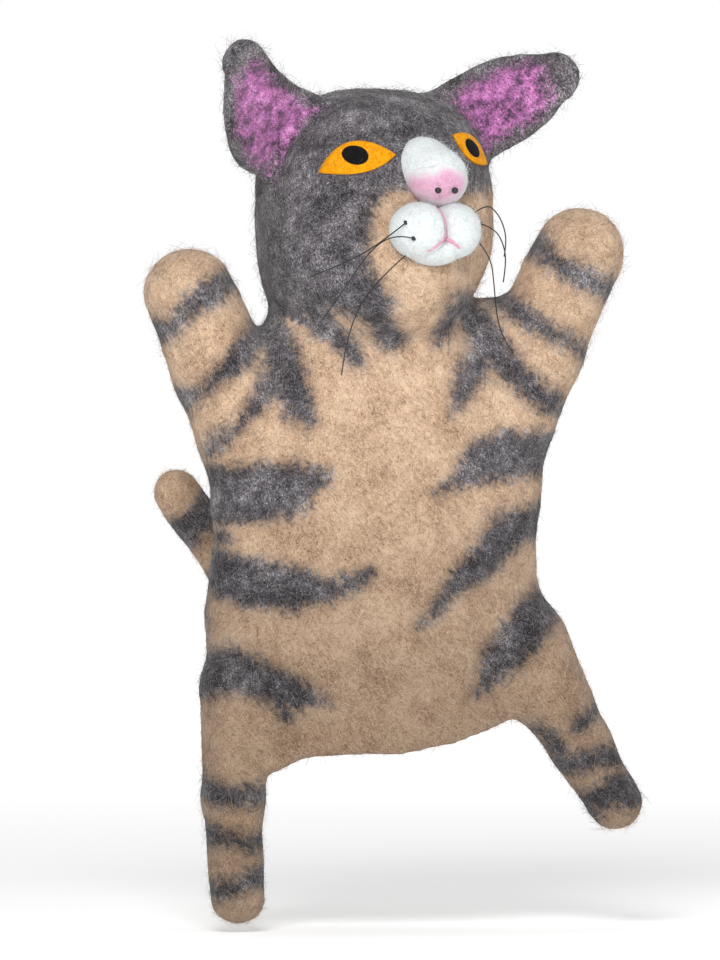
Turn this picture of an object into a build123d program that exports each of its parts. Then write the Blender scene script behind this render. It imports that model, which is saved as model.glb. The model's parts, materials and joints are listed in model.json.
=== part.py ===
from build123d import *
import os
from math import asin, ceil, cos, pi, radians, sin, tan

# Hand puppet: a tabby cat made of wet-felted wool, worn like a glove.
# Millimetres, +Z up, the chest towards -Y.  The origin is the middle of the hand opening,
# at the hem.  Left and right are the puppet's own, so its right side is at -X.

# ---- felt and clearances ----
WALL = 4.0  # thickness of the felt in every hollow piece
OVERRUN = 5.0  # how far a cutting tool runs past what it cuts
GROWTH = 1.0  # a moving piece is this much larger when its path is cut from its neighbour
BALL_GROWTH = 1.1  # and so is the ball that it turns on
SWEEP_STEP = 20.0  # degrees between the positions that are cut
FAR = 400.0  # longer than the puppet, for cutting tools

# ---- torso: height, middle across, middle front to back, half width, half depth ----
TORSO_LEVELS = [
    (0, -2, 0, 59, 29),
    (30, -2, 0, 62, 31),
    (75, -2, 0, 63, 31),
    (112, -1, 0, 64, 30),
    (136, 0, 0, 55, 29),
    (152, 0, 1, 45, 31),
    (166, -1, 3, 38.5, 34),
    (184, -2, 2, 38, 34.5),
]

# ---- neck: the head turns about the neck's axis and nods about the head's width ----
NOD_CENTRE = Vector(-3, -2, 188)
NECK_AXIS = Vector(-0.08, -0.22, 0.97)
NECK_HALF_WIDTH = 38.0
NECK_HALF_DEPTH = 35.0
NECK_WALL = 4.5
NECK_BASE = -24.0  # the felt folds here when the head turns, below the nod centre
NECK_RIM = -8.0  # upper edge of the neck's cup, below the nod centre
NECK_GAP = 0.5
NECK_SWEEP_BASE = -72.0  # the neck's path through the head starts here, well below the head
BALL_RADIUS = 33.5  # the underside of the head sits in the neck's cup
BALL_OPENING = -18.0  # the head is open for the fingers from here down
TURN_RANGE = (-20, 20)
NOD_RANGE = (-14, 14)

# ---- head, in its own frame: its face looks along that frame's -Y ----
HEAD_TURNED = 19.0
HEAD_CENTRE = Vector(-1, -3, 209)
HEAD_HALF_SIZES = (48.5, 39.5, 49.5)
HEAD_SQUARENESS = 2.4  # 2 would be an ellipsoid
JAW_CENTRE = (0, -12, -20)
JAW_RADII = (33, 23)  # across, up

# ---- face, measured from the head's centre ----
EYE_THICKNESS = 1.2
EYE_HALF_WIDTH = 13.5
EYE_HALF_HEIGHT = 7.0
EYE_PLACES = {"right": (-25.5, 21.0, 14.0), "left": (25.5, 21.5, -16.0)}  # across, up, droop
PUPIL_THICKNESS = 0.8
PUPIL_HALF_SIZES = (3.9, 3.4)
PUPIL_RISE = 2.6
MUZZLE_SIDE = 7.5
MUZZLE_CENTRE = (-45, -5.5)  # front to back, up
MUZZLE_RADIUS = 11.8
CHIN_CENTRE = (0, -43, -15)
CHIN_RADII = (9.6, 6)  # across, up
BRIDGE_CENTRE = (0.5, -39, 13)
BRIDGE_RADII = (9.6, 20)  # across, along
BRIDGE_LEAN = -14.0
NOSE_CENTRE = (0, -50, 10.5)
NOSE_RADII = (6.5, 11)  # up, across
NOSTRIL_SIDE = 3.8
NOSTRIL_CENTRE = (-55.2, 9.5)
NOSTRIL_RADIUS = 1.2
MOUTH_RISE = 0.5  # the mouth's pink strand stands this proud of the muzzle
MOUTH_WIDTH = 1.2
MOUTH_TOP = 4.0
MOUTH_FORK = -8.0
MOUTH_BEND = (4.5, -13.0)
MOUTH_CORNER = (8.5, -15.0)

# ---- ears, measured from the head's centre: front and back of the root, and the tip ----
EAR_POINTS = {
    "right": ((-28, -4, 44), (-49, 4, 19), (-75, -24, 68)),
    "left": ((26, -3, 49), (46, -8, 23), (76, -30, 59)),
}
EAR_HALF_WIDTH = 20.0
EAR_ROOT = 9.0  # how far the ear's plate runs into the head before it is cut
EAR_THICKNESS = 5.0
EAR_TIP_RADIUS = 6.0
EAR_BULGE = 0.76  # half width at mid length, as a share of the root's
INNER_EAR_SCALE = 0.68
INNER_EAR_THICKNESS = 1.2
INNER_EAR_SHIFT = 0.06  # towards the tip, as a share of the ear's length

# ---- whiskers: waxed thread, each route measured from the head's centre ----
WHISKER_RADIUS = 0.25
KNOT_RADIUS = 0.9
CORNER_SHARE = 0.45  # share of a run that a rounded corner may take at each end
WHISKER_ROUTES = {
    "whisker_right_top": [
        (-16.8, -51.2, -3.2),
        (-31, -55, -11.5),
        (-48, -57.5, -19),
        (-63.5, -58, -24),
    ],
    "whisker_right_middle": [
        (-15, -54, -9.3),
        (-25.5, -58, -7.5),
        (-38, -60, -13.5),
        (-50, -61, -28.5),
        (-60, -61, -40.5),
    ],
    "whisker_right_low": [
        (-12.5, -44.5, -15.5),
        (-29, -55, -23),
        (-42.5, -59.5, -34.5),
        (-50, -61.5, -49.5),
        (-52, -62, -61.5),
    ],
    "whisker_left_top": [
        (15.2, -48.2, 0.2),
        (21, -48.5, 4.3),
        (28, -45.5, 1),
        (33.5, -42, -5),
        (36.5, -38.5, -11),
        (37, -36, -16),
    ],
    "whisker_left_middle": [
        (17, -51, -3.5),
        (23.5, -50, -5),
        (30, -46.5, -10.5),
        (33.5, -43.5, -18),
        (33.5, -41, -26),
    ],
    "whisker_left_low": [
        (15.5, -49.5, -8.8),
        (20.5, -53, -16),
        (21, -54.5, -27),
        (21.5, -55.5, -39),
        (24, -56.5, -48),
        (28.5, -56.5, -53.5),
    ],
}
KNOTTED = ["whisker_right_top", "whisker_right_middle", "whisker_left_middle"]

# ---- limbs: root, bend and tip, with the radius at each ----
ARM_RADII = (20.5, 18.6, 17.4)
ARM_ROOT_CUT = -12.0  # the arm's tube is open from here towards the body
FINGER_OPENING = 12.5
RIGHT_ARM = (Vector(-50, 0, 124), Vector(-61, 0, 149), Vector(-74, 0, 178.8))
LEFT_ARM = (Vector(51, 0, 132), Vector(63.5, 0, 157.5), Vector(81.5, 0, 194.2))
LEG_RADII = (12.0, 11.2, 10.6)
RIGHT_LEG = (Vector(-53.5, -8, 4), Vector(-54, -8, -17), Vector(-52.5, -8, -55.5))
LEFT_LEG = (Vector(64, -7, 19), Vector(80.5, -8, 2), Vector(94, -9, -20.5))
TAIL_RADII = (11.5, 10.2, 9.4)
TAIL = (Vector(-10, 41, 30), Vector(-41, 47, 60), Vector(-70, 45, 101))
TAIL_BOSS_RADIUS = 16.0
TAIL_BOSS_INSET = 6.0  # the boss is this far inside the tail's root

ARM_SWING = (0, 35)  # raised, lowered
ARM_BEND = (-10, 45)  # back, forward
RIGHT_LEG_SPLAY = (-10, 35)  # in, out
LEFT_LEG_SPLAY = (-30, 10)
LEG_BEND = (-30, 35)  # back, forward
TAIL_LIFT = (-3, 45)  # towards the back, away from it
TAIL_WAG = (-35, 35)


def egg(radius, half_length):
    """An ellipsoid of revolution along Z, about its own centre."""
    arc = EllipticalCenterArc((0, 0), radius, half_length, start_angle=-90, arc_size=180)
    return revolve(Plane.XZ * make_face([arc, Line(arc @ 1, arc @ 0)]), Axis.Z)


def squared_egg(growth=0.0):
    """The head's rounded block, larger or smaller by growth, about its own centre."""
    wide, deep, tall = (half + growth for half in HEAD_HALF_SIZES)
    power = 2 / HEAD_SQUARENESS
    steps = 8  # points of the outline in each quarter
    profile = []
    for step in range(-steps, steps + 1):
        angle = step * pi / 2 / steps
        up = abs(sin(angle)) ** power * (1 if step > 0 else -1)
        profile.append((wide * max(cos(angle), 0) ** power, tall * up))
    profile[0] = (0, -tall)
    profile[-1] = (0, tall)
    outline = Spline(*profile, tangents=[(1, 0), (-1, 0)])
    half = make_face([outline, Line(profile[-1], profile[0])])
    return scale(revolve(Plane.XZ * half, Axis.Z), by=(1, deep / wide, 1))


def ball_point(radius, centre, angle):
    """A point on a ball's outline, in the plane of a bar's profile."""
    return (radius * cos(angle), centre + radius * sin(angle))


def capsule(start, end, start_radius, end_radius, root_ball=True):
    """A round bar that tapers evenly between two points, with ball ends or one ball end."""
    length = (end - start).length
    slope = asin((start_radius - end_radius) / length)
    first = ball_point(start_radius, 0, slope)
    last = ball_point(end_radius, length, slope)
    top = (0, length + end_radius)
    if root_ball:
        bottom = (0, -start_radius)
        root = ThreePointArc(bottom, ball_point(start_radius, 0, (slope - pi / 2) / 2), first)
    else:
        bottom = (0, 0)
        first = (start_radius / cos(slope), 0)
        root = Line(bottom, first)
    tip = ThreePointArc(last, ball_point(end_radius, length, (slope + pi / 2) / 2), top)
    outline = make_face([root, Line(first, last), tip, Line(top, bottom)])
    return Plane(origin=start, z_dir=end - start) * revolve(Plane.XZ * outline, Axis.Z)


def hinge_path(points, radii, axis, limits):
    """What a bar sweeps as it turns about its root, as cutters: its ball, and its positions."""
    root, end = points
    bar = capsule(root, end, radii[0] + GROWTH, radii[1] + GROWTH, root_ball=False)
    count = ceil((limits[1] - limits[0]) / SWEEP_STEP)
    angles = [limits[0] + (limits[1] - limits[0]) * step / count for step in range(count + 1)]
    ball = Pos(root) * Sphere(radii[0] + BALL_GROWTH)
    return [ball] + [bar.rotate(Axis(root, axis), angle) for angle in angles]


def largest(shape):
    """The largest solid of a shape, without the crumbs that a cut can leave."""
    return max(shape.solids(), key=lambda solid: solid.volume)


def cut(solid, *tools):
    """The solid less each tool in turn."""
    for tool in tools:
        solid = largest(solid - tool)
    return solid


def ellipse_column(levels, inset):
    """A smooth column through level ellipses."""
    sections = [Pos(x, y, z) * Ellipse(wide - inset, deep - inset) for z, x, y, wide, deep in levels]
    return loft(sections)


# ---- frames of the neck and the head ----
neck_frame = Plane(origin=NOD_CENTRE, x_dir=(1, 0, 0), z_dir=NECK_AXIS)
head_frame = Plane(
    origin=HEAD_CENTRE, x_dir=(cos(radians(HEAD_TURNED)), sin(radians(HEAD_TURNED)), 0), z_dir=(0, 0, 1)
)
nod_axis = Axis(NOD_CENTRE, head_frame.x_dir)


def neck_ring(half_width, half_depth, bottom, top):
    """An elliptical bar along the neck."""
    return neck_frame * Pos(0, 0, bottom) * extrude(Ellipse(half_width, half_depth), top - bottom)


def make_head():
    """The hollow head, and its closed outer form."""
    outer = head_frame * squared_egg() + head_frame * Pos(*JAW_CENTRE) * egg(*JAW_RADII)
    hollow = head_frame * squared_egg(-WALL) + Pos(NOD_CENTRE) * Sphere(BALL_RADIUS - WALL)
    column = neck_ring(
        NECK_HALF_WIDTH + GROWTH, NECK_HALF_DEPTH + GROWTH, NECK_SWEEP_BASE, NECK_RIM + GROWTH
    )
    below = neck_frame * Pos(0, 0, BALL_OPENING - FAR / 2) * Box(FAR, FAR, FAR)
    outer -= [column.rotate(nod_axis, angle) for angle in (*NOD_RANGE, 0)]
    closed = largest(outer + Pos(NOD_CENTRE) * Sphere(BALL_RADIUS) - below)
    return largest(closed - hollow), closed


def make_neck():
    """Short neck tube: flat at the torso's fold, with a cup for the head at the top."""
    tube = neck_ring(NECK_HALF_WIDTH, NECK_HALF_DEPTH, NECK_BASE, NECK_RIM)
    bore = neck_ring(
        NECK_HALF_WIDTH - NECK_WALL, NECK_HALF_DEPTH - NECK_WALL, NECK_BASE - OVERRUN, NECK_RIM + OVERRUN
    )
    return largest(tube - bore - Pos(NOD_CENTRE) * Sphere(BALL_RADIUS + NECK_GAP))


def make_torso(limb_paths):
    """Torso shell, open at the hem and the neck, with the limbs' paths cut from it."""
    above = neck_frame * Pos(0, 0, NECK_BASE - NECK_GAP + FAR / 2) * Box(FAR, FAR, FAR)
    boss = Pos(TAIL[0].X, TAIL[0].Y - TAIL_BOSS_INSET, TAIL[0].Z) * Sphere(TAIL_BOSS_RADIUS)
    bottom, *between, top = TORSO_LEVELS
    hollow_levels = [(bottom[0] - OVERRUN, *bottom[1:]), *between, (top[0] + OVERRUN, *top[1:])]
    shell = ellipse_column(TORSO_LEVELS, 0) + boss
    shell -= ellipse_column(hollow_levels, WALL)
    return largest(shell - above - limb_paths)


def make_limb(points, radii, bend_axis, bend_range, hollow):
    """Root part and end part of a limb; the end part's path is cut from the root part."""
    root, bend, tip = points
    end_part = capsule(bend, tip, radii[1], radii[2])
    root_part = capsule(root, bend, radii[0], radii[1])
    if hollow:
        along = (bend - root).normalized()
        root_frame = Plane(origin=root, z_dir=along)
        bend_frame = Plane(origin=bend, z_dir=tip - bend)
        end_part -= capsule(bend, tip, radii[1] - WALL, radii[2] - WALL)
        end_part -= bend_frame * Pos(0, 0, -radii[1] / 2) * Cylinder(FINGER_OPENING, radii[1] + 2)
        root_part -= capsule(root, bend, radii[0] - WALL, radii[1] - WALL)
        root_part -= root_frame * Pos(0, 0, ARM_ROOT_CUT - FAR / 2) * Box(FAR, FAR, FAR)
    root_part -= hinge_path(points[1:], radii[1:], bend_axis, bend_range)
    return largest(root_part), largest(end_part)


def make_ear(side, head_closed):
    """Leaf-shaped ear and the thin layer of pink wool on its front."""
    front, back, tip = (head_frame.from_local_coords(Vector(*point)) for point in EAR_POINTS[side])
    root = (front + back) * 0.5
    length = (tip - root).length
    facing = (tip - root).cross(back - front) * (1 if side == "right" else -1)
    frame = Plane(origin=root, x_dir=(tip - root).cross(facing), z_dir=facing)
    outline = [
        Line((-EAR_HALF_WIDTH, -EAR_ROOT), (EAR_HALF_WIDTH, -EAR_ROOT)),
        ThreePointArc((EAR_HALF_WIDTH, -EAR_ROOT), (EAR_HALF_WIDTH * EAR_BULGE, length * 0.5), (0, length)),
        ThreePointArc((0, length), (-EAR_HALF_WIDTH * EAR_BULGE, length * 0.5), (-EAR_HALF_WIDTH, -EAR_ROOT)),
    ]
    leaf = make_face(outline)
    leaf = fillet(leaf.vertices().sort_by(Axis.Y)[-1], EAR_TIP_RADIUS)
    ear = frame * extrude(leaf, EAR_THICKNESS / 2, both=True)
    layer = extrude(scale(leaf, by=INNER_EAR_SCALE), INNER_EAR_THICKNESS)
    layer = Pos(0, length * INNER_EAR_SHIFT, EAR_THICKNESS / 2) * layer
    inner = largest(frame * layer - head_closed)
    return largest(ear - head_closed), inner


def make_eye(side):
    """Almond of flat felt on the head's curve, and the round pupil on it, in the head's frame."""
    across, up, droop = EYE_PLACES[side]
    lid = [
        ThreePointArc((-EYE_HALF_WIDTH, 0), (0, EYE_HALF_HEIGHT), (EYE_HALF_WIDTH, 0)),
        ThreePointArc((EYE_HALF_WIDTH, 0), (0, -EYE_HALF_HEIGHT), (-EYE_HALF_WIDTH, 0)),
    ]
    place = Plane.XZ * Pos(across, up) * Rot(0, 0, droop)
    almond = extrude(place * make_face(lid), FAR / 4)
    spot = extrude(place * Pos(0, PUPIL_RISE) * Ellipse(*PUPIL_HALF_SIZES), FAR / 4)
    eye_face = squared_egg(EYE_THICKNESS)
    pupil_face = squared_egg(EYE_THICKNESS + PUPIL_THICKNESS)
    return largest((almond & eye_face) - squared_egg()), largest((spot & pupil_face) - eye_face)


def make_face_pieces(head_closed):
    """Everything needle-felted on the front of the head, by name, in the puppet's frame."""
    pieces = {}
    for side in EYE_PLACES:
        eye, pupil = make_eye(side)
        pieces[side + "_eye"] = cut(head_frame * eye, head_closed)
        pieces[side + "_pupil"] = head_frame * pupil
    pads = {}
    strands = {}
    for side, sign in (("right", -1), ("left", 1)):
        place = Pos(sign * MUZZLE_SIDE, *MUZZLE_CENTRE)
        half = Pos(sign * FAR / 2, 0, 0) * Box(FAR, FAR, FAR)
        pads[side] = place * Sphere(MUZZLE_RADIUS) & half
        strands[side] = place * Sphere(MUZZLE_RADIUS + MOUTH_RISE) & half
    nostrils = {}
    for side, sign in (("right", -1), ("left", 1)):
        nostrils[side] = Pos(sign * NOSTRIL_SIDE, *NOSTRIL_CENTRE) * Sphere(NOSTRIL_RADIUS)
    nose = Pos(*NOSE_CENTRE) * Rot(0, 90, 0) * Rot(0, 0, 90) * egg(*NOSE_RADII)
    pads = {side: cut(pad, nose) for side, pad in pads.items()}
    both_pads = pads["right"] + pads["left"]
    chin = cut(Pos(*CHIN_CENTRE) * egg(*CHIN_RADII), both_pads)
    bridge = cut(Pos(*BRIDGE_CENTRE) * Rot(BRIDGE_LEAN, 0, 0) * egg(*BRIDGE_RADII), both_pads, nose)
    mouth_lines = [
        Line((0, MOUTH_TOP), (0, MOUTH_FORK)),
        ThreePointArc((0, MOUTH_FORK), MOUTH_BEND, MOUTH_CORNER),
        ThreePointArc((0, MOUTH_FORK), (-MOUTH_BEND[0], MOUTH_BEND[1]), (-MOUTH_CORNER[0], MOUTH_CORNER[1])),
    ]
    strip = Sketch() + [trace(line, MOUTH_WIDTH) for line in mouth_lines]
    strip = extrude(Plane.XZ * strip, FAR / 4)
    mouth = cut(strip & (strands["right"] + strands["left"]), both_pads, chin, nose, bridge)
    in_head = {
        "right_muzzle": pads["right"],
        "left_muzzle": pads["left"],
        "chin": chin,
        "nose_bridge": bridge,
        "nose_pad": nose,
        "mouth_line": mouth,
    }
    for name, piece in in_head.items():
        pieces[name] = cut(head_frame * piece, head_closed)
    for side, bead in nostrils.items():
        pieces[side + "_nostril"] = head_frame * bead
    pieces["nose_bridge"] = cut(pieces["nose_bridge"], pieces["right_eye"], pieces["left_eye"])
    return pieces


def corner_radius(before, corner, after):
    """Bend radius at a corner of a thread: as large as its two runs leave room for."""
    turn = (corner - before).get_angle(after - corner)
    shorter = min((corner - before).length, (after - corner).length)
    return CORNER_SHARE * shorter / tan(radians(turn / 2))


def make_whisker(name):
    """A thin waxed thread: straight runs joined by tangent arcs, in the head's frame."""
    route = [Vector(*point) for point in WHISKER_ROUTES[name]]
    radii = [corner_radius(*route[i - 1 : i + 2]) for i in range(1, len(route) - 1)]
    path = FilletPolyline(*route, radius=radii)
    start = Plane(origin=path @ 0, z_dir=path % 0)
    thread = sweep(start * Circle(WHISKER_RADIUS), path=path)
    section = pi * WHISKER_RADIUS**2
    print(
        f"{name}: length {path.length:.1f} mm, radii {[round(radius, 1) for radius in radii]},"
        f" volume {thread.volume:.3f} and section x length {section * path.length:.3f} mm3"
    )
    return head_frame * thread


def make_knots():
    """The small knots that hold three of the whiskers, as one group."""
    knots = [head_frame * Pos(*WHISKER_ROUTES[name][0]) * Sphere(KNOT_RADIUS) for name in KNOTTED]
    return Compound(children=[largest(knot) for knot in knots])


def main():
    right_arm_bend = (RIGHT_ARM[2] - RIGHT_ARM[1]).cross(Vector(0, -1, 0))
    left_arm_bend = (LEFT_ARM[2] - LEFT_ARM[1]).cross(Vector(0, -1, 0))
    tail_wag = Vector(0, 1, 0)
    paths = hinge_path(RIGHT_ARM[:2], ARM_RADII, (0, -1, 0), ARM_SWING)
    paths += hinge_path(LEFT_ARM[:2], ARM_RADII, (0, 1, 0), ARM_SWING)
    paths += hinge_path(RIGHT_LEG[:2], LEG_RADII, (0, 1, 0), RIGHT_LEG_SPLAY)
    paths += hinge_path(LEFT_LEG[:2], LEG_RADII, (0, -1, 0), LEFT_LEG_SPLAY)
    paths += hinge_path(TAIL[:2], TAIL_RADII, (-1, 0, 0), TAIL_LIFT)

    parts = {"torso_shell": make_torso(paths), "neck_sleeve": make_neck()}
    parts["head_shell"], head_closed = make_head()
    for side in EAR_POINTS:
        parts[side + "_ear"], parts[side + "_inner_ear"] = make_ear(side, head_closed)
    parts.update(make_face_pieces(head_closed))
    for name in WHISKER_ROUTES:
        parts[name] = make_whisker(name)
    parts["whisker_knots"] = make_knots()
    limbs = [
        ("right_upper_arm", "right_paw", RIGHT_ARM, ARM_RADII, right_arm_bend, ARM_BEND, True),
        ("left_upper_arm", "left_paw", LEFT_ARM, ARM_RADII, left_arm_bend, ARM_BEND, True),
        ("right_thigh", "right_foot", RIGHT_LEG, LEG_RADII, (-1, 0, 0), LEG_BEND, False),
        ("left_thigh", "left_foot", LEFT_LEG, LEG_RADII, (-1, 0, 0), LEG_BEND, False),
        ("tail_base", "tail_tip", TAIL, TAIL_RADII, tail_wag, TAIL_WAG, False),
    ]
    for root_name, end_name, *shape in limbs:
        parts[root_name], parts[end_name] = make_limb(*shape)

    os.makedirs("parts", exist_ok=True)
    for name, solid in parts.items():
        solid.label = name
        export_step(solid, f"parts/{name}.step")


main()
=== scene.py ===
import itertools
import json
import math

import bpy
import numpy as np
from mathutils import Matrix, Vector


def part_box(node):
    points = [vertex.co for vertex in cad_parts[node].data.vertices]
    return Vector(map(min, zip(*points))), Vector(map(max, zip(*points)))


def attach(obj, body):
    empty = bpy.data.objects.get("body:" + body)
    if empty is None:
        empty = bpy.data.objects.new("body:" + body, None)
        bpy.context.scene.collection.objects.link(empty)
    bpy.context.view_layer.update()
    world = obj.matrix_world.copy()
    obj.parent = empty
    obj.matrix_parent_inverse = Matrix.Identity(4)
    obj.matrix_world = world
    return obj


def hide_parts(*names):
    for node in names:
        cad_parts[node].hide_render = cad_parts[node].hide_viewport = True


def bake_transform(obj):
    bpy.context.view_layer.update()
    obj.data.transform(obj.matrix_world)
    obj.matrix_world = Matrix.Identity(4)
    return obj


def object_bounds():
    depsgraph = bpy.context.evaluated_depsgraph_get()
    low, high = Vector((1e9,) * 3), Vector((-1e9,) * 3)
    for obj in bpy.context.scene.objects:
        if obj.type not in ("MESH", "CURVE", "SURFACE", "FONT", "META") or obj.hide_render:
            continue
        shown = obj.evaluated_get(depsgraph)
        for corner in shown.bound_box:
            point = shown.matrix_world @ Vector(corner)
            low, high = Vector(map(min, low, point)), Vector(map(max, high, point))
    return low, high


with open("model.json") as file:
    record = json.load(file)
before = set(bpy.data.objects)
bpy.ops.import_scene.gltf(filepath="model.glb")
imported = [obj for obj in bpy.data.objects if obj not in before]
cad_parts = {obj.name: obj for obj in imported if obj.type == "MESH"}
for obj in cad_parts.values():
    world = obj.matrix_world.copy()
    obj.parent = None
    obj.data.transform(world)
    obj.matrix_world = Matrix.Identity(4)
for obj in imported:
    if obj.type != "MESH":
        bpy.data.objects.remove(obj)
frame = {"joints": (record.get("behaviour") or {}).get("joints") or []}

# A wet-felted wool tabby cat, worn as a glove.  Shapes are worked out in millimetres in the
# puppet's frame (+Z up, chest to -Y, its right side at -X) and built in metres.
MM = 0.001
cad_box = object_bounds()
joint = {j["name"]: np.array(j["pos_m"]) / MM for j in frame["joints"]}


def node_box(name):
    """Lowest and highest corner of a CAD node, in millimetres."""
    low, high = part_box(name)
    return np.array(low) / MM, np.array(high) / MM


# ---- camera: nearly level, far in front and a little to the puppet's right ----
VIEW_AZIMUTH = math.radians(-12)
VIEW_HEIGHT = 374.0  # what the picture shows from bottom to top
VIEW_MIDDLE = (-6.0, 106.0)  # across the picture and up, from the puppet's origin
CAMERA_DISTANCE = 4000.0
CAMERA_RISE = 1.0  # degrees above level

# ---- felt ----
WALL = 4.0
GRID = 1.4  # spacing of the skin's points
LUMP = 0.55  # how far the felt's surface wanders in and out

# torso: height, middle across, middle front to back, half width, half depth
TORSO_LEVELS = [
    (-30, -2, 0, 61, 27),
    (0, -1, 0, 62.5, 29),
    (17, -1, 0, 63.5, 30),
    (35, -1, 0, 65.5, 30.5),
    (55, -1, 0, 66.8, 31),
    (69, -1, 0, 64.8, 31),
    (83, 0, 0, 63.7, 31),
    (95, 0, 0, 65.5, 31),
    (106, 0.5, 0, 66, 30.5),
    (124, 2, 0, 65, 29.5),
    (142, 2.5, 0, 57, 29.5),
    (158, -1, 1, 46.5, 31),
    (172, -5, 2, 36.5, 32),
    (200, -5, 0, 35, 31),
]
TORSO_TOP = 196.0  # inside the head
# lower edge of the glove: across, up
HEM = [(-70, -8), (-43, -6.5), (-33, -1.5), (-14, 0), (6, 0), (26, 4), (42, 8.5), (52, 13), (75, 22)]

# head, in its own frame, whose -Y is where the face looks
HEAD_TURNED = math.radians(19)
HEAD_CENTRE = np.array([-1.0, -3.0, 209.0])
HEAD_HALVES = (46.5, 39.0, 49.5)
HEAD_SQUARENESS = 2.4
HEAD_LEAN = 0.08  # the head's lower half slants towards the puppet's right, under this height
HEAD_LEAN_TOP = -8.0
JAW = ((-1, -13, -25), (34, 32, 25))
LEG_SHIFT = (-4.0, 0.0, 0.0)  # the felt of the right leg hangs this far outside its joints
LEG_CREASE = ((46, -24, 11), (68, -21, 17))  # a fold where the hem meets the left leg
LEFT_SHOULDER = ((30, 0, 158.5), (50, 0, 160), 17.5)  # two ends and a radius
# Front and back of each ear's root, its tip, its radius at root and tip, how full its sides are,
# and how far it bows from a straight leaf.
EARS = {
    "right": ((-28, -4, 44), (-49, 4, 19), (-78, -24, 64.5), 20.8, 9.0, 2.1, -7.0),
    "left": ((26, -3, 49), (46, -8, 23), (74.5, -30, 58.5), 17.8, 10.4, 3.4, -1.0),
}
EAR_THICKNESS = 5.0
EAR_EDGE = 1.8  # radius of its rounded edge
EAR_CUP = 5.0  # how far the ear's edges curl forward
EAR_RIM = 4.5  # width of the grey rim round the pink

# limbs: radii at the root, the bend and the tip
ARM_RADII = (21.0, 18.8, 17.4)
RIGHT_LEG_RADII = (14.0, 11.5, 10.6)
LEFT_LEG_RADII = (18.0, 12.0, 10.6)
TAIL_RADII = (11.0, 9.8, 9.0)


def limb_line(root, bend, node, radius, side, up):
    """Root, bend and tip of a limb; its tip is as far in from its CAD node's corner as it is thick."""
    low, high = node_box(node)
    x = high[0] - radius if side > 0 else low[0] + radius
    z = high[2] - radius if up > 0 else low[2] + radius
    return root, bend, np.array([x, bend[1], z])


LIMB_LINES = {
    "right_arm": limb_line(joint["right_arm_lower"], joint["right_paw_bend"], "right_paw", 17.4, -1, 1),
    "left_arm": limb_line(joint["left_arm_lower"], joint["left_paw_bend"], "left_paw", 17.4, 1, 1),
    "right_leg": limb_line(
        joint["right_leg_splay"] + (0, 0, 22), joint["right_leg_swing"], "right_foot", 10.6, 1, -1
    ),
    "left_leg": limb_line(
        joint["left_leg_splay"] + (-7, 0, 23), joint["left_leg_swing"], "left_foot", 10.6, 1, -1
    ),
    "tail": limb_line(joint["tail_lift"], joint["tail_wag"], "tail_tip", 9.4, -1, 1),
}
LIMB_LINES["right_leg"] = [point + LEG_SHIFT for point in LIMB_LINES["right_leg"]]
LIMB_SHAPES = {
    "right_arm": ARM_RADII,
    "left_arm": ARM_RADII,
    "right_leg": RIGHT_LEG_RADII,
    "left_leg": LEFT_LEG_RADII,
    "tail": TAIL_RADII,
}

# Where the skin is split between bodies.  For each limb: its three bodies in order, the direction along which
# the skin goes over from one to the next, the distances where each change starts and ends, how far
# round the limb it reaches, and the CAD nodes of its second and third body.
BENDS = {
    "right_arm": (
        ("glove", "right_upper_arm", "right_paw"), (-0.84, 0, 0.54), (132, 145, 148, 167), 24,
        (["right_upper_arm"], ["right_paw"]),
    ),
    "left_arm": (
        ("glove", "left_upper_arm", "left_paw"), (0.78, 0, 0.62), (146, 166, 169, 188), 27,
        (["left_upper_arm"], ["left_paw"]),
    ),
    "right_leg": (
        ("glove", "right_thigh", "right_foot"), (0, 0, -1), (9, 23, 26, 40), 22,
        (["right_thigh"], ["right_foot"]),
    ),
    "left_leg": (
        ("glove", "left_thigh", "left_foot"), (0.69, 0, -0.72), (36, 48, 51, 66), 26,
        (["left_thigh"], ["left_foot"]),
    ),
    "tail": (
        ("glove", "tail_base", "tail_tip"), (-0.65, 0.05, 0.76), (34, 54, 62, 82), 15.5,
        (["tail_base"], ["tail_tip"]),
    ),
    "head": (
        ("glove", "neck", "head"), (-0.19, -0.25, 0.95), (163, 174, 177, 188), 1000,
        (["neck_sleeve"], ["head_shell", "right_ear", "left_ear", "right_inner_ear", "left_inner_ear"]),
    ),
}

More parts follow.
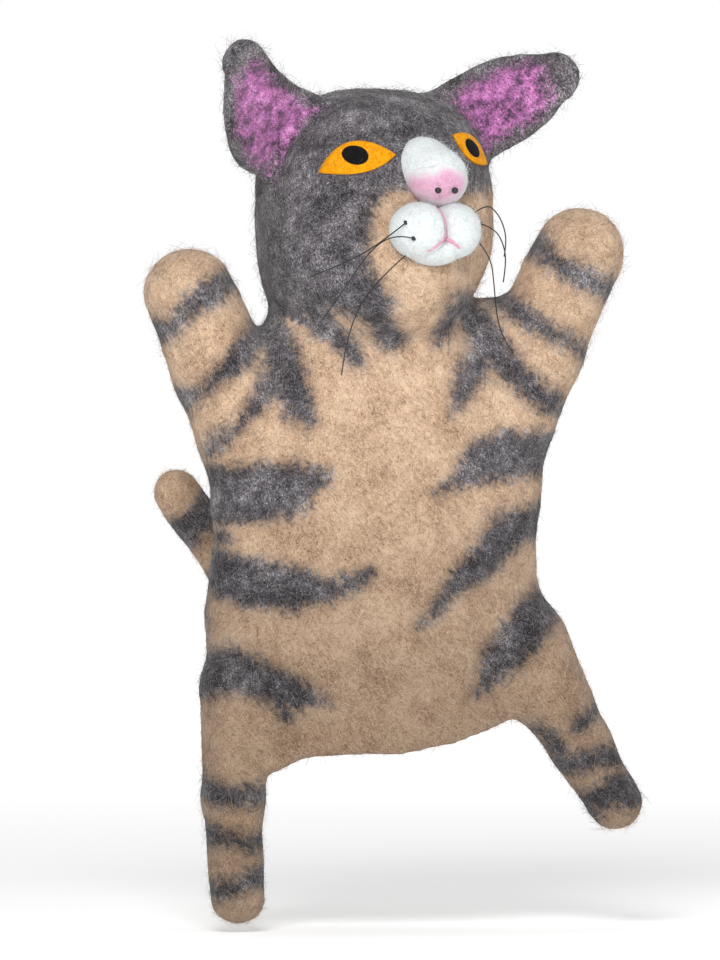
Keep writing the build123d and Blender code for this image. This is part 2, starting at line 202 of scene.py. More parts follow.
# ---- marks in the wool, seen from the front: across, up and half width at each point ----
GREY_STROKES = [
    # the torso's right side, from the top
    [(-70, 100, 13), (-46.6, 102, 11.5), (-31.4, 103, 9), (-21.5, 106, 3.5), (-18, 107, 0.5)],
    [
        (-70, 75, 8), (-62, 71.4, 9), (-46.6, 65.8, 8.5), (-31.4, 63.2, 8),
        (-19, 62.8, 4.5), (-10, 66, 2), (-1, 71, 0.5),
    ],
    [(-69, 84, 4), (-58, 84, 3)],
    [(-69, 60, 3), (-69, 42, 4)],
    [(-70, 32, 10), (-52, 31, 8), (-39.5, 26.5, 7), (-28.3, 22.4, 4.5), (-17, 19, 0.8)],
    [(-37, 22, 4), (-34, 14, 1)],
    # the torso's left side, from the top
    [(80, 117, 9), (70, 116.7, 9), (55, 115.7, 9.5), (42, 114, 6.5), (33, 107, 3.5), (23.7, 102, 0.7)],
    [
        (70, 93, 8), (62.5, 90, 8), (50, 84.6, 7.5), (40, 74.4, 5),
        (32, 66, 3.5), (23.7, 56, 1.5), (17.6, 50, 0.4),
    ],
    [(72, 64, 5), (65.6, 58, 6), (60.5, 52, 8), (53.3, 42, 7), (46.2, 32, 5), (39, 23, 1)],
    # the right arm, from its tip, and its shoulder
    [
        (-92, 158, 4), (-87.6, 160.6, 4), (-80.6, 164.5, 3.8),
        (-70.7, 173.5, 3.8), (-55.7, 183.5, 4.5), (-50, 186, 5),
    ],
    [(-80, 135, 4.5), (-76.6, 136.7, 4.2), (-65.7, 141.7, 3.5), (-55.7, 150.6, 3.5), (-44, 164, 4.5)],
    [(-64, 117, 3), (-53.8, 125.7, 2.8), (-45.8, 135.7, 3.3), (-39.8, 145.6, 5)],
    [(-41, 166, 6), (-37, 158.6, 6), (-34, 147.6, 7.5), (-30, 136, 6.5), (-25, 130, 2)],
    [(-27, 176, 4.5), (-20, 166, 4.5), (-12, 159.6, 3), (-7, 153, 0.8)],
    # the left arm, from its tip, and its shoulder
    [
        (62, 198, 5), (65.5, 195.4, 4.5), (71.4, 190.4, 4),
        (81.4, 184.5, 4.4), (92.3, 179.5, 3.8), (99, 176, 4),
    ],
    [
        (46, 179, 4.5), (49.6, 176.5, 4.5), (57.5, 170.5, 4.3),
        (66.5, 164.6, 3.8), (77.4, 158.6, 3), (86, 150, 3),
    ],
    [(35, 174, 5), (42.6, 159.6, 7), (54.5, 147.6, 5), (65.5, 137.7, 3.8), (75, 129, 3)],
    [(30, 171, 3), (25, 159.6, 1.5)],
    [(40, 152, 6), (34.6, 141, 4.5), (29, 133, 0.8)],
    # the legs
    [(-70, -8, 3.5), (-64, -14, 3.4), (-57, -16.5, 3.3), (-40, -15, 3.3)],
    [(-70, -33, 6), (-64, -31, 4), (-59, -32.3, 2.8), (-40, -34, 2.8)],
    [(-70, -53, 3), (-57, -52, 2.8), (-48, -48.5, 3), (-42, -46, 3)],
    [(78.7, 9.8, 1.5), (84.5, 14.5, 2), (93, 20, 2.8)],
    [(62, 9, 2), (65.8, 7.5, 2), (70.5, 0.5, 2)],
    [(70, -6, 3.3), (75, -5.4, 3.3), (85.7, -3.1, 3.3), (100, 0, 3.5)],
    [(78, -20, 5), (84.5, -25.3, 3.5), (82, -20, 4.5), (91.5, -15.9, 5.5), (106, -14.5, 5)],
]
TAIL_BANDS = [(27, 5), (53, 6), (80, 6.5)]  # distance from the root, half width
JAW_STROKES = [[(-16, 178.5, 5), (-1, 172.5, 8), (6, 163, 5)]]  # grey wool under the jaw
# Tan wool on the head: across, up and half width, in the head's frame.
FACE_PATCHES = [
    [(0, -2, 12), (-10, -2, 12), (-12, -14, 14.5), (0, -26, 17), (6, -40, 17), (20, -42, 17)],
    [(10, -6, 16), (30, -8, 17), (52, -10, 17), (50, -30, 18), (25, -34, 18)],
    [(-32, -38, 3.5), (-26, -43, 3.5)],
]
FACE_BACK = 3.0  # the tan wool reaches this far back on the head's sides


# ---- fields: distances to shapes, in millimetres, negative inside ----
def hashed(cells, seed):
    """A repeatable number from 0 to 1 for each whole-numbered cell."""
    mix = (cells.astype(np.int64) * np.array([73856093, 19349663, 83492791])).sum(-1) + seed * 97531
    mix = ((mix ^ (mix >> 13)) * 1274126177) & 0xFFFFFFFF
    mix = ((mix ^ (mix >> 16)) * 2246822519) & 0xFFFFFFFF
    return ((mix ^ (mix >> 15)) & 0xFFFFFF) / 0xFFFFFF


def wool_noise(points, size, seed):
    """Smooth noise from -1 to 1, with lumps of about that size."""
    base = np.floor(points / size)
    part = points / size - base
    part = part * part * (3 - 2 * part)
    total = 0
    for corner in itertools.product((0, 1), repeat=3):
        total = total + np.prod(np.where(corner, part, 1 - part), axis=-1) * hashed(base + corner, seed)
    return total * 2 - 1


def tapered_bar(p, a, b, radius_a, radius_b):
    """Distance to a round bar with ball ends."""
    along = np.subtract(b, a)
    rel = [p[i] - a[i] for i in range(3)]
    share = np.clip(sum(rel[i] * along[i] for i in range(3)) / (along @ along), 0, 1)
    away = np.sqrt(sum((rel[i] - share * along[i]) ** 2 for i in range(3)))
    return away - (radius_a + (radius_b - radius_a) * share)


def squared_egg(p, centre, halves, power):
    """Distance to a rounded block; power 2 is an ellipsoid."""
    scaled = [np.abs(p[i] - centre[i]) / halves[i] + 1e-6 for i in range(3)]
    size = sum(s**power for s in scaled) ** (1 / power)
    steep = np.sqrt(sum((s ** (power - 1) / halves[i]) ** 2 for i, s in enumerate(scaled)))
    return (size - 1) * size ** (power - 1) / steep


def torso_column(p, inset=0.0):
    """Distance to the torso's upright column of ellipses."""
    levels = np.array(TORSO_LEVELS, float)
    cx, cy, wide, deep = (np.interp(p[2], levels[:, 0], levels[:, i]) for i in range(1, 5))
    dx, dy, wide, deep = p[0] - cx, p[1] - cy, wide - inset, deep - inset
    size = np.sqrt((dx / wide) ** 2 + (dy / deep) ** 2) + 1e-6
    side = (size - 1) * size / (np.sqrt((dx / wide**2) ** 2 + (dy / deep**2) ** 2) + 1e-6)
    return np.maximum(side, p[2] - (TORSO_TOP - inset))


def merge(a, b, soft):
    """Union of two fields, with a fillet of about that size."""
    share = np.clip(0.5 + 0.5 * (b - a) / soft, 0, 1)
    return b * (1 - share) + a * share - soft * share * (1 - share)


def carve(a, b, soft):
    """The first field less the second, with a rounded edge."""
    return -merge(-a, b, soft)


def to_head(p):
    """Points of the puppet's frame in the head's own frame."""
    c, s = math.cos(HEAD_TURNED), math.sin(HEAD_TURNED)
    x, y = p[0] - HEAD_CENTRE[0], p[1] - HEAD_CENTRE[1]
    return (x * c + y * s, -x * s + y * c, p[2] - HEAD_CENTRE[2])


def from_head(points):
    """Points of the head's frame in the puppet's, as rows."""
    points = np.atleast_2d(np.asarray(points, float))
    c, s = math.cos(HEAD_TURNED), math.sin(HEAD_TURNED)
    x = points[:, 0] * c - points[:, 1] * s
    y = points[:, 0] * s + points[:, 1] * c
    return np.stack([x, y, points[:, 2]], axis=1) + HEAD_CENTRE


def ear_place(p, side):
    """Across, along and forward of an ear's middle sheet, and the ear's length."""
    front, back, tip = (np.array(point, float) for point in EARS[side][:3])
    root = (front + back) / 2
    along = tip - root
    length = np.linalg.norm(along)
    along = along / length
    facing = np.cross(along, back - front) * (1 if side == "right" else -1)
    facing = facing / np.linalg.norm(facing)
    across = np.cross(along, facing)
    rel = [p[i] - root[i] for i in range(3)]
    u, v, w = (sum(rel[i] * axis[i] for i in range(3)) for axis in (across, along, facing))
    return u, v, w - EAR_CUP * (u / EARS[side][3]) ** 2, length


def ear_outline(u, v, length, side):
    """Distance in the ear's sheet to its rounded leaf outline."""
    root_radius, tip_radius, fullness, bow = EARS[side][3:]
    straight = length - tip_radius
    share = np.clip(v / straight, 0, 1)
    away = np.sqrt((u - bow * np.sin(math.pi * share)) ** 2 + (v - share * straight) ** 2)
    return away - (root_radius + (tip_radius - root_radius) * share**fullness)


def sheet(flat, outline, edge):
    """A sheet between two surfaces and inside an outline, with a rounded edge."""
    flat, outline = flat + edge, outline + edge
    corner = np.hypot(np.maximum(flat, 0), np.maximum(outline, 0))
    return np.minimum(np.maximum(flat, outline), 0) + corner - edge


def ear(h, side):
    """Distance to a cupped ear, in the head's frame."""
    u, v, w, length = ear_place(h, side)
    return sheet(np.abs(w) - EAR_THICKNESS / 2, ear_outline(u, v, length, side), EAR_EDGE)


def limb(p, name, inset=0.0):
    """Distance to a limb of two bars."""
    root, bend, end = LIMB_LINES[name]
    first, middle, last = (radius - inset for radius in LIMB_SHAPES[name])
    return merge(tapered_bar(p, root, bend, first, middle), tapered_bar(p, bend, end, middle, last), 4)


def head_block(h, inset=0.0):
    """Distance to the head without its ears, in the head's frame."""
    h = (h[0] + HEAD_LEAN * np.maximum(0, HEAD_LEAN_TOP - h[2]), h[1], h[2])
    skull = squared_egg(h, (0, 0, 0), [half - inset for half in HEAD_HALVES], HEAD_SQUARENESS)
    jaw = squared_egg(h, JAW[0], [half - inset for half in JAW[1]], 2.0)
    return merge(skull, jaw, 6)


def puppet_skin(p, hollowed=True):
    """Distance to all the felt: the hollow glove and what is felted onto it."""
    h = to_head(p)
    body = torso_column(p)
    for name in ("right_arm", "left_arm"):
        body = merge(body, limb(p, name), 7)
    body = merge(body, tapered_bar(p, *LEFT_SHOULDER[:2], LEFT_SHOULDER[2], LEFT_SHOULDER[2]), 5)
    body = carve(body, tapered_bar(p, *LEG_CREASE, 3.0, 1.6), 1.5)
    hem = np.interp(p[0], [x for x, _ in HEM], [z for _, z in HEM])
    body = carve(body, p[2] - hem, 3)
    head = head_block(h)
    for side in EARS:
        head = merge(head, ear(h, side), 6)
    felt = merge(body, head, 4)
    if hollowed:
        hollow = merge(torso_column(p, WALL), head_block(h, WALL), 6)
        for name in ("right_arm", "left_arm"):
            hollow = merge(hollow, limb(p, name, WALL), 6)
        felt = carve(felt, hollow, 1.5)
    felt = merge(felt, limb(p, "right_leg"), 7)
    felt = merge(felt, limb(p, "left_leg"), 9)
    return merge(felt, limb(p, "tail"), 4)


# ---- meshes from fields ----
def surface_net(field, low, high, step):
    """Points and quads of a field's zero surface, with one point in each cell that it crosses."""
    axes = [np.arange(low[i], high[i] + step, step, dtype=np.float32) for i in range(3)]
    places = [axes[0][:, None, None], axes[1][None, :, None], axes[2][None, None, :]]
    values = field(places).astype(np.float32)
    shape = np.array(values.shape)
    strides = np.array([shape[1] * shape[2], shape[2], 1])
    inside = values < 0
    sums = np.zeros((shape.prod(), 3))
    counts = np.zeros(shape.prod())
    edges = []
    for axis in range(3):
        first = [slice(None)] * 3
        second = [slice(None)] * 3
        first[axis], second[axis] = slice(None, -1), slice(1, None)
        start = np.argwhere(inside[tuple(first)] != inside[tuple(second)])
        others = [i for i in range(3) if i != axis]
        start = start[(start[:, others[0]] > 0) & (start[:, others[1]] > 0)]
        end = start.copy()
        end[:, axis] += 1
        a, b = values[tuple(start.T)], values[tuple(end.T)]
        crossing = start.astype(float)
        crossing[:, axis] += a / (a - b)
        cells = []
        for offset in ((1, 1), (0, 1), (0, 0), (1, 0)):
            cell = start.copy()
            cell[:, others[0]] -= offset[0]
            cell[:, others[1]] -= offset[1]
            index = cell @ strides
            cells.append(index)
            for i in range(3):
                sums[:, i] += np.bincount(index, crossing[:, i], len(counts))
            counts += np.bincount(index, minlength=len(counts))
        quad = np.stack(cells, axis=1)
        flip = (a < 0) == (axis == 1)
        quad[flip] = quad[flip][:, ::-1]
        edges.append(quad)
    used = np.nonzero(counts)[0]
    number = np.full(len(counts), -1)
    number[used] = np.arange(len(used))
    points = sums[used] / counts[used, None] * step + np.array(low)
    return points, number[np.concatenate(edges)]


def relax(points, quads, rounds, share=0.5):
    """Evens out a mesh by drawing each point towards its neighbours."""
    a = quads.ravel()
    b = np.roll(quads, -1, axis=1).ravel()
    both, other = np.concatenate([a, b]), np.concatenate([b, a])
    counts = np.bincount(both, minlength=len(points))[:, None]
    for _ in range(rounds):
        mean = np.stack([np.bincount(both, points[other, i], len(points)) for i in range(3)], axis=1) / counts
        points = points + share * (mean - points)
    return points


def point_normals(points, quads):
    """Outward normals at a mesh's points."""
    a, b, c, d = (points[quads[:, i]] for i in range(4))
    face = np.cross(c - a, d - b)
    normals = np.stack(
        [np.bincount(quads.ravel(), np.repeat(face[:, i], 4), len(points)) for i in range(3)], axis=1
    )
    return normals / np.maximum(np.linalg.norm(normals, axis=1), 1e-9)[:, None]


def make_mesh(name, points, faces, material, normals=None, values=None):
    """A smooth mesh object, from points in millimetres, with its rest place kept for the textures."""
    mesh = bpy.data.meshes.new(name)
    mesh.from_pydata((np.asarray(points) * MM).tolist(), [], [list(map(int, face)) for face in faces])
    mesh.polygons.foreach_set("use_smooth", [True] * len(mesh.polygons))
    rest = mesh.attributes.new("rest_mm", "FLOAT_VECTOR", "POINT")
    rest.data.foreach_set("vector", np.asarray(points, np.float32).ravel())
    for key, value in (values or {}).items():
        attribute = mesh.attributes.new(key, "FLOAT", "POINT")
        attribute.data.foreach_set("value", np.asarray(value, np.float32))
    if normals is not None:
        mesh.normals_split_custom_set_from_vertices(np.asarray(normals).tolist())
    for m in material if isinstance(material, list) else [material]:
        mesh.materials.append(m)
    mesh.update()
    obj = bpy.data.objects.new(name, mesh)
    bpy.context.scene.collection.objects.link(obj)
    return obj


# ---- where the colours of the wool change ----
def stroke_depth(u, v, stroke):
    """How far inside a tapering stroke each point is."""
    best = np.full(np.shape(u), -50.0)
    for (u0, v0, r0), (u1, v1, r1) in zip(stroke[:-1], stroke[1:]):
        du, dv = u1 - u0, v1 - v0
        share = np.clip(((u - u0) * du + (v - v0) * dv) / (du * du + dv * dv), 0, 1)
        away = np.hypot(u - u0 - share * du, v - v0 - share * dv)
        best = np.maximum(best, r0 + (r1 - r0) * share - away)
    return best


def wool_marks(points, normals):
    """Depth inside the grey wool and inside the ears' pink wool, at each point."""
    p = points.T
    h = to_head(p)
    wander = 2.2 * wool_noise(points, 14, 3) + 0.9 * wool_noise(points, 5, 4)
    # stripes lie on the flattened glove as seen from a little to one side, and wrap round to the back
    x = 0.978 * p[0] + 0.208 * np.abs(p[1])
    grey = np.full(len(points), -50.0)
    for stroke in GREY_STROKES:
        grey = np.maximum(grey, stroke_depth(x, p[2], stroke))
    root, _, end = LIMB_LINES["tail"]
    along = (points - root) @ ((end - root) / np.linalg.norm(end - root))
    on_tail = limb(p, "tail") < 2.5
    grey = np.where(on_tail, -50.0, grey)
    for place, half in TAIL_BANDS:
        grey = np.maximum(grey, np.where(on_tail, half - np.abs(along - place), -50.0))
    neck = p[2] - 167 - 0.1 * p[0]
    on_head = np.minimum(np.minimum(head_block(h), ear(h, "right")), ear(h, "left")) < 2.5
    head = np.where(on_head, neck, -50.0)
    patch = np.full(len(points), -50.0)
    for stroke in FACE_PATCHES:
        patch = np.maximum(patch, stroke_depth(h[0], h[2], stroke) + np.minimum(0, FACE_BACK - h[1]))
    head = np.minimum(head, -patch)
    for stroke in JAW_STROKES:
        jaw = stroke_depth(x, p[2], stroke) + np.minimum(0, -10 - p[1])
        head = np.maximum(head, jaw)
    grey = np.maximum(grey, head) + wander
    pink = np.full(len(points), -50.0)
    for side in EARS:
        u, v, w, length = ear_place(h, side)
        depth = np.minimum(-ear_outline(u, v, length, side) - EAR_RIM, 0.6 * (length - 12 - v))
        depth = np.minimum(depth, np.minimum(0.6 * (v - 1), 1.5 * (5.5 - w)))
        pink = np.maximum(pink, np.where(w > 0, depth, -50.0))
    return {"grey_mm": np.clip(grey, -12, 12), "pink_mm": np.clip(pink + 0.5 * wander, -12, 12)}


# ---- camera ----
def to_camera_frame(right, up, distance):
    """A point of the scene, in metres, from its place across and up in the picture."""
    c, s = math.cos(VIEW_AZIMUTH), math.sin(VIEW_AZIMUTH)
    return Vector((right * c + distance * s, right * s - distance * c, up)) * MM


middle = to_camera_frame(*VIEW_MIDDLE, 0)
rise = math.radians(CAMERA_RISE)
place = to_camera_frame(VIEW_MIDDLE[0], VIEW_MIDDLE[1], CAMERA_DISTANCE * math.cos(rise))
place.z += CAMERA_DISTANCE * math.sin(rise) * MM
camera = bpy.data.objects.new("camera", bpy.data.cameras.new("camera"))
camera.location = place
camera.rotation_euler = (middle - place).to_track_quat("-Z", "Y").to_euler()
camera.data.sensor_width = 36
camera.data.lens = 36 * CAMERA_DISTANCE / VIEW_HEIGHT
camera.data.clip_end = 60
bpy.context.scene.collection.objects.link(camera)
bpy.context.scene.camera = camera
bpy.context.scene.view_settings.view_transform = "Standard"


# ---- materials ----
def linear(colour):
    """A colour of 8-bit sRGB numbers, for a shader."""
    share = [c / 255 for c in colour]
    return (*[s / 12.92 if s <= 0.04045 else ((s + 0.055) / 1.055) ** 2.4 for s in share], 1.0)


def new_material(name, roughness, sheen=0.0, specular=0.5):
    """A material with its principled shader."""
    material = bpy.data.materials.new(name)
    material.use_nodes = True
    shader = material.node_tree.nodes["Principled BSDF"]
    shader.inputs["Roughness"].default_value = roughness
    shader.inputs["Specular IOR Level"].default_value = specular
    shader.inputs["Sheen Weight"].default_value = sheen
    shader.inputs["Sheen Roughness"].default_value = 0.45
    return material, shader


class Nodes:
    """Short ways to add and join a material's nodes."""

    def __init__(self, material):
        self.tree = material.node_tree
        self.rest = self.add("ShaderNodeAttribute", attribute_name="rest_mm").outputs["Vector"]

    def add(self, kind, links=None, **settings):
        node = self.tree.nodes.new(kind)
        for key, value in settings.items():
            setattr(node, key, value)
        for key, value in (links or {}).items():
            if isinstance(value, bpy.types.NodeSocket):
                self.tree.links.new(value, node.inputs[key])
            else:
                node.inputs[key].default_value = value
        return node

    def noise(self, size, detail=3.0, turn=(0, 0, 0), stretch=(1, 1, 1)):
        """Noise with features of that size in millimetres, drawn out along one axis."""
        links = {"Vector": self.rest, "Rotation": turn, "Scale": [size * part for part in stretch]}
        place = self.add("ShaderNodeMapping", links, vector_type="TEXTURE")
        links = {"Vector": place.outputs[0], "Scale": 1.0, "Detail": detail, "Roughness": 0.62}
        return self.add("ShaderNodeTexNoise", links).outputs["Fac"]

    def math(self, operation, a, b=0.0):
        return self.add("ShaderNodeMath", {0: a, 1: b}, operation=operation).outputs[0]

    def spread(self, value, low, high, to_low=0.0, to_high=1.0):
        links = {"Value": value, "From Min": low, "From Max": high, "To Min": to_low, "To Max": to_high}
        return self.add("ShaderNodeMapRange", links, interpolation_type="SMOOTHSTEP").outputs[0]

    def ramp(self, value, stops):
        node = self.add("ShaderNodeValToRGB", {"Fac": value})
        elements = node.color_ramp.elements
        for index, (at, colour) in enumerate(stops):
            element = elements[index] if index < 2 else elements.new(at)
            element.position, element.color = at, linear(colour)
        return node.outputs["Color"]

    def mix(self, factor, a, b):
        node = self.add("ShaderNodeMix", data_type="RGBA")
        for key, value in ((0, factor), (6, a), (7, b)):
            self.tree.links.new(value, node.inputs[key])
        return node.outputs[2]

    def fibres(self, thick=0.55, long=7.0):
        """Wool fibres lying in several directions, from 0 to 1."""
        turns = ((0.2, 0.3, 0.4), (1.1, 0.5, 2.3), (0.6, 1.9, 1.2), (2.2, 0.9, 0.1))
        layers = [self.noise(thick, 2.5, turn, (long, 1, 1)) for turn in turns]
        first = self.math("MAXIMUM", layers[0], layers[1])
        second = self.math("MAXIMUM", layers[2], layers[3])
        both = self.math("ADD", first, second)
        return self.math("MULTIPLY", both, 0.5)

    def bump(self, shader, height, depth, strength=1.0):
        links = {"Height": height, "Distance": depth * MM, "Strength": strength}
        self.tree.links.new(self.add("ShaderNodeBump", links).outputs[0], shader.inputs["Normal"])


PAINTED_LEG_SHADE = 0.56  # painted shade: the skin's colour is darkened towards the legs, standing in for light falling off down the body
# Colours of each wool, from the dark between its fibres to the lightest fibre.
TAN_WOOL = [
    (0.38, (110, 84, 66)),
    (0.47, (170, 141, 116)),
    (0.57, (206, 177, 149)),
    (0.72, (230, 208, 184)),
]
GREY_WOOL = [
    (0.42, (28, 26, 28)),
    (0.50, (68, 65, 68)),
    (0.58, (110, 106, 109)),
    (0.68, (192, 188, 191)),
]
PINK_WOOL = [
    (0.42, (72, 56, 74)),
    (0.50, (132, 86, 124)),
    (0.58, (184, 108, 170)),
    (0.68, (222, 158, 208)),
]


def wool_material(name):
    """The skin's felt: tan, grey and pink wool, which mix in a feathery edge where they meet, with painted
    shade darkening it towards the legs.
    """
    material, shader = new_material(name, 0.95, sheen=0.18, specular=0.12)
    n = Nodes(material)
    fibre = n.fibres(0.5, 8.0)
    long_fibre = n.fibres(1.7, 12.0)
    cloud = n.noise(13, 3)
    patches = n.noise(4.5, 3)
    speck = n.noise(0.3, 2)
    blend = n.math("ADD", n.math("MULTIPLY", fibre, 0.75), n.math("MULTIPLY", speck, 0.25))
    soft = n.math("ADD", n.math("MULTIPLY", n.math("SUBTRACT", cloud, 0.5), 0.26), blend)
    tone = n.math("ADD", soft, n.math("MULTIPLY", n.math("SUBTRACT", long_fibre, 0.56), 0.30))
    mottle = n.math("ADD", soft, n.math("MULTIPLY", n.math("SUBTRACT", patches, 0.5), 0.16))
    blots = n.math("ADD", blend, n.math("MULTIPLY", n.math("SUBTRACT", patches, 0.5), 0.55))
    tan = n.ramp(tone, TAN_WOOL)
    grey = n.ramp(mottle, GREY_WOOL)
    pink = n.ramp(blots, PINK_WOOL)
    feather = n.math("MULTIPLY", n.math("SUBTRACT", long_fibre, 0.55), 24.0)
    fine = n.math("MULTIPLY", n.math("SUBTRACT", fibre, 0.56), 12.0)
    colour = tan
    for key, wool, grown in (("grey_mm", grey, 1.4), ("pink_mm", pink, -0.5)):
        depth = n.add("ShaderNodeAttribute", attribute_name=key).outputs["Fac"]
        edge = n.math("ADD", n.math("ADD", depth, grown), n.math("ADD", feather, fine))
        colour = n.mix(n.spread(edge, -3.6, 3.8), colour, wool)
    # painted shade: the colour is darkened lower down the body, towards the legs
    height = n.add("ShaderNodeSeparateXYZ", {"Vector": n.rest}).outputs["Z"]
    links = {"Value": n.spread(height, 0, 140, PAINTED_LEG_SHADE, 1.0), "Color": colour}
    colour = n.add("ShaderNodeHueSaturation", links).outputs["Color"]
    n.tree.links.new(colour, shader.inputs["Base Color"])
    wrinkles = n.math("ADD", n.math("MULTIPLY", long_fibre, 1.3), n.math("MULTIPLY", n.noise(3.5, 4), 1.0))
    n.bump(shader, n.math("ADD", n.math("MULTIPLY", fibre, 0.6), wrinkles), 1.3, 0.8)
    return material


def plain_felt(name, stops, depth=0.5, size=0.5, sheen=0.15):
    """One colour of felt, with its fibres."""
    material, shader = new_material(name, 0.92, sheen=sheen, specular=0.12)
    n = Nodes(material)
    fibre = n.fibres(size, 6.0)
    tone = n.math("ADD", n.math("MULTIPLY", fibre, 0.8), n.math("MULTIPLY", n.noise(2.2, 3), 0.2))
    n.tree.links.new(n.ramp(tone, stops), shader.inputs["Base Color"])
    n.bump(shader, n.math("ADD", fibre, n.noise(2.4, 2)), depth, 0.6)
    return material


def nose_material(name):
    """Pink wool that thins out into the white wool at its edge."""
    material, shader = new_material(name, 0.92, sheen=0.15, specular=0.12)
    n = Nodes(material)
    fibre = n.fibres(0.5, 6.0)
    white = n.ramp(fibre, WHITE_STOPS)
    pink = n.ramp(fibre, NOSE_STOPS)
    depth = n.add("ShaderNodeAttribute", attribute_name="pink_mm").outputs["Fac"]
    edge = n.math("ADD", depth, n.math("MULTIPLY", n.math("SUBTRACT", fibre, 0.56), 16.0))
    colour = n.mix(n.spread(edge, -0.6, 3.4), white, pink)
    n.tree.links.new(colour, shader.inputs["Base Color"])
    n.bump(shader, n.math("ADD", fibre, n.noise(2.4, 2)), 0.5, 0.6)
    return material


WHITE_STOPS = [
    (0.38, (176, 182, 184)),
    (0.50, (206, 212, 212)),
    (0.60, (222, 227, 227)),
    (0.74, (240, 243, 243)),
]
NOSE_STOPS = [
    (0.38, (172, 120, 148)),
    (0.50, (198, 146, 172)),
    (0.60, (212, 164, 188)),
    (0.74, (228, 194, 212)),
]
MOUTH_STOPS = [
    (0.42, (190, 122, 152)),
    (0.50, (208, 142, 170)),
    (0.60, (218, 160, 186)),
    (0.72, (228, 186, 204)),
]
EYE_STOPS = [
    (0.42, (168, 96, 4)),
    (0.50, (206, 132, 6)),
    (0.58, (226, 154, 12)),
    (0.70, (244, 184, 54)),
]
PUPIL_STOPS = [
    (0.38, (4, 4, 5)),
    (0.50, (12, 12, 13)),
    (0.62, (24, 23, 25)),
    (0.76, (48, 46, 50)),
]

skin_wool = wool_material("tabby_felt")
white_wool = plain_felt("white_felt", WHITE_STOPS)
eye_felt = plain_felt("yellow_felt", EYE_STOPS, 0.3, 0.35, 0.08)
pupil_felt = plain_felt("black_felt", PUPIL_STOPS, 0.3, 0.35, 0.05)
nose_wool = nose_material("nose_felt")
mouth_wool = plain_felt("mouth_felt", MOUTH_STOPS, 0.4, 0.35)


def thread_material(name, roughness, size):
    """Waxed thread: nearly black, with a fine twist in its gloss."""
    material, shader = new_material(name, roughness)
    n = Nodes(material)
    twist = n.noise(size, 2, (0.3, 0.6, 0.2), (3, 1, 1))
    n.tree.links.new(n.ramp(twist, [(0.3, (6, 6, 7)), (0.7, (34, 32, 34))]), shader.inputs["Base Color"])
    n.tree.links.new(n.spread(twist, 0.3, 0.7, roughness - 0.1, roughness + 0.15), shader.inputs["Roughness"])
    return material


thread = thread_material("waxed_thread", 0.45, 0.5)
bead = thread_material("black_bead", 0.2, 1.5)
STRAND_COLOURS = {
    "tan": [(206, 180, 154), (170, 142, 118), (116, 92, 76)],
    "grey": [(158, 153, 157), (88, 83, 86), (34, 31, 33)],
    "pink": [(214, 150, 202), (166, 108, 156), (112, 78, 108)],
    "white": [(236, 237, 238), (222, 224, 225), (206, 209, 210)],
}
strand_wool = []
for wool, tones in STRAND_COLOURS.items():
    for index, tone in enumerate(tones):
        material, shader = new_material(f"{wool}_wool_{index}", 0.8, specular=0.2)
        shader.inputs["Base Color"].default_value = linear(tone)
        strand_wool.append(material)
WOOLS = list(STRAND_COLOURS)


# ---- whiskers: stiff waxed thread, each route in metres from the head's centre ----
WHISKERS = {
    "whisker_right_top": (0.0519, [
        (-0.0168, -0.0512, -0.0032), (-0.031, -0.055, -0.0115), (-0.048, -0.0575, -0.019),
        (-0.0635, -0.058, -0.024),
    ]),
    "whisker_right_middle": (0.0597, [
        (-0.015, -0.054, -0.0093), (-0.0255, -0.058, -0.0075), (-0.038, -0.060, -0.0135),
        (-0.050, -0.061, -0.0285), (-0.060, -0.061, -0.0405),
    ]),
    "whisker_right_low": (0.0678, [
        (-0.0125, -0.0445, -0.0155), (-0.029, -0.055, -0.023), (-0.0425, -0.0595, -0.0345),
        (-0.050, -0.0615, -0.0495), (-0.052, -0.062, -0.0615),
    ]),
    "whisker_left_top": (0.0366, [
        (0.0152, -0.0482, 0.0002), (0.021, -0.0485, 0.0043), (0.028, -0.0455, 0.001),
        (0.0335, -0.042, -0.005), (0.0365, -0.0385, -0.011), (0.037, -0.036, -0.016),
    ]),
    "whisker_left_middle": (0.0328, [
        (0.017, -0.051, -0.0035), (0.0235, -0.050, -0.005), (0.030, -0.0465, -0.0105),
        (0.0335, -0.0435, -0.018), (0.0335, -0.041, -0.026),
    ]),
    "whisker_left_low": (0.0487, [
        (0.0155, -0.0495, -0.0088), (0.0205, -0.053, -0.016), (0.021, -0.0545, -0.027),
        (0.0215, -0.0555, -0.039), (0.024, -0.0565, -0.048), (0.0285, -0.0565, -0.0535),
    ]),
}
WHISKER_DIAMETER = 0.0005
KNOTTED = ["whisker_right_top", "whisker_right_middle", "whisker_left_middle"]


def knot_field(p, centre):
    """A pulled-tight overhand knot: three short crossing turns."""
    turns = [
        ((-0.5, 0, -0.35), (0.5, 0.1, 0.35)),
        ((-0.45, 0.1, 0.4), (0.45, 0, -0.4)),
        ((0, -0.3, -0.5), (0, 0.3, 0.5)),
    ]
    field = 9.0
    for a, b in turns:
        field = np.minimum(field, tapered_bar(p, np.add(centre, a), np.add(centre, b), 0.45, 0.45))
    return field


def felt_piece(name, field, low, high, step, material, body="head", values=None):
    """A piece whose surface is a field's, worked out in the head's frame."""
    points, quads = surface_net(field, low, high, step)
    points = relax(points, quads, 1)
    normals = point_normals(points, quads)
    marks = values(points, normals) if values else {}
    obj = make_mesh(name, from_head(points), quads, material, values=marks)
    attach(obj, body)
    return obj, points, normals


for name in KNOTTED:
    centre = np.array(WHISKERS[name][1][0]) / MM
    reach = np.full(3, 1.6)
    knot, _, _ = felt_piece(
        name.replace("whisker", "knot"), lambda p: knot_field(p, centre), centre - reach, centre + reach,
        0.16, thread,
    )
    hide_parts("whisker_knots")

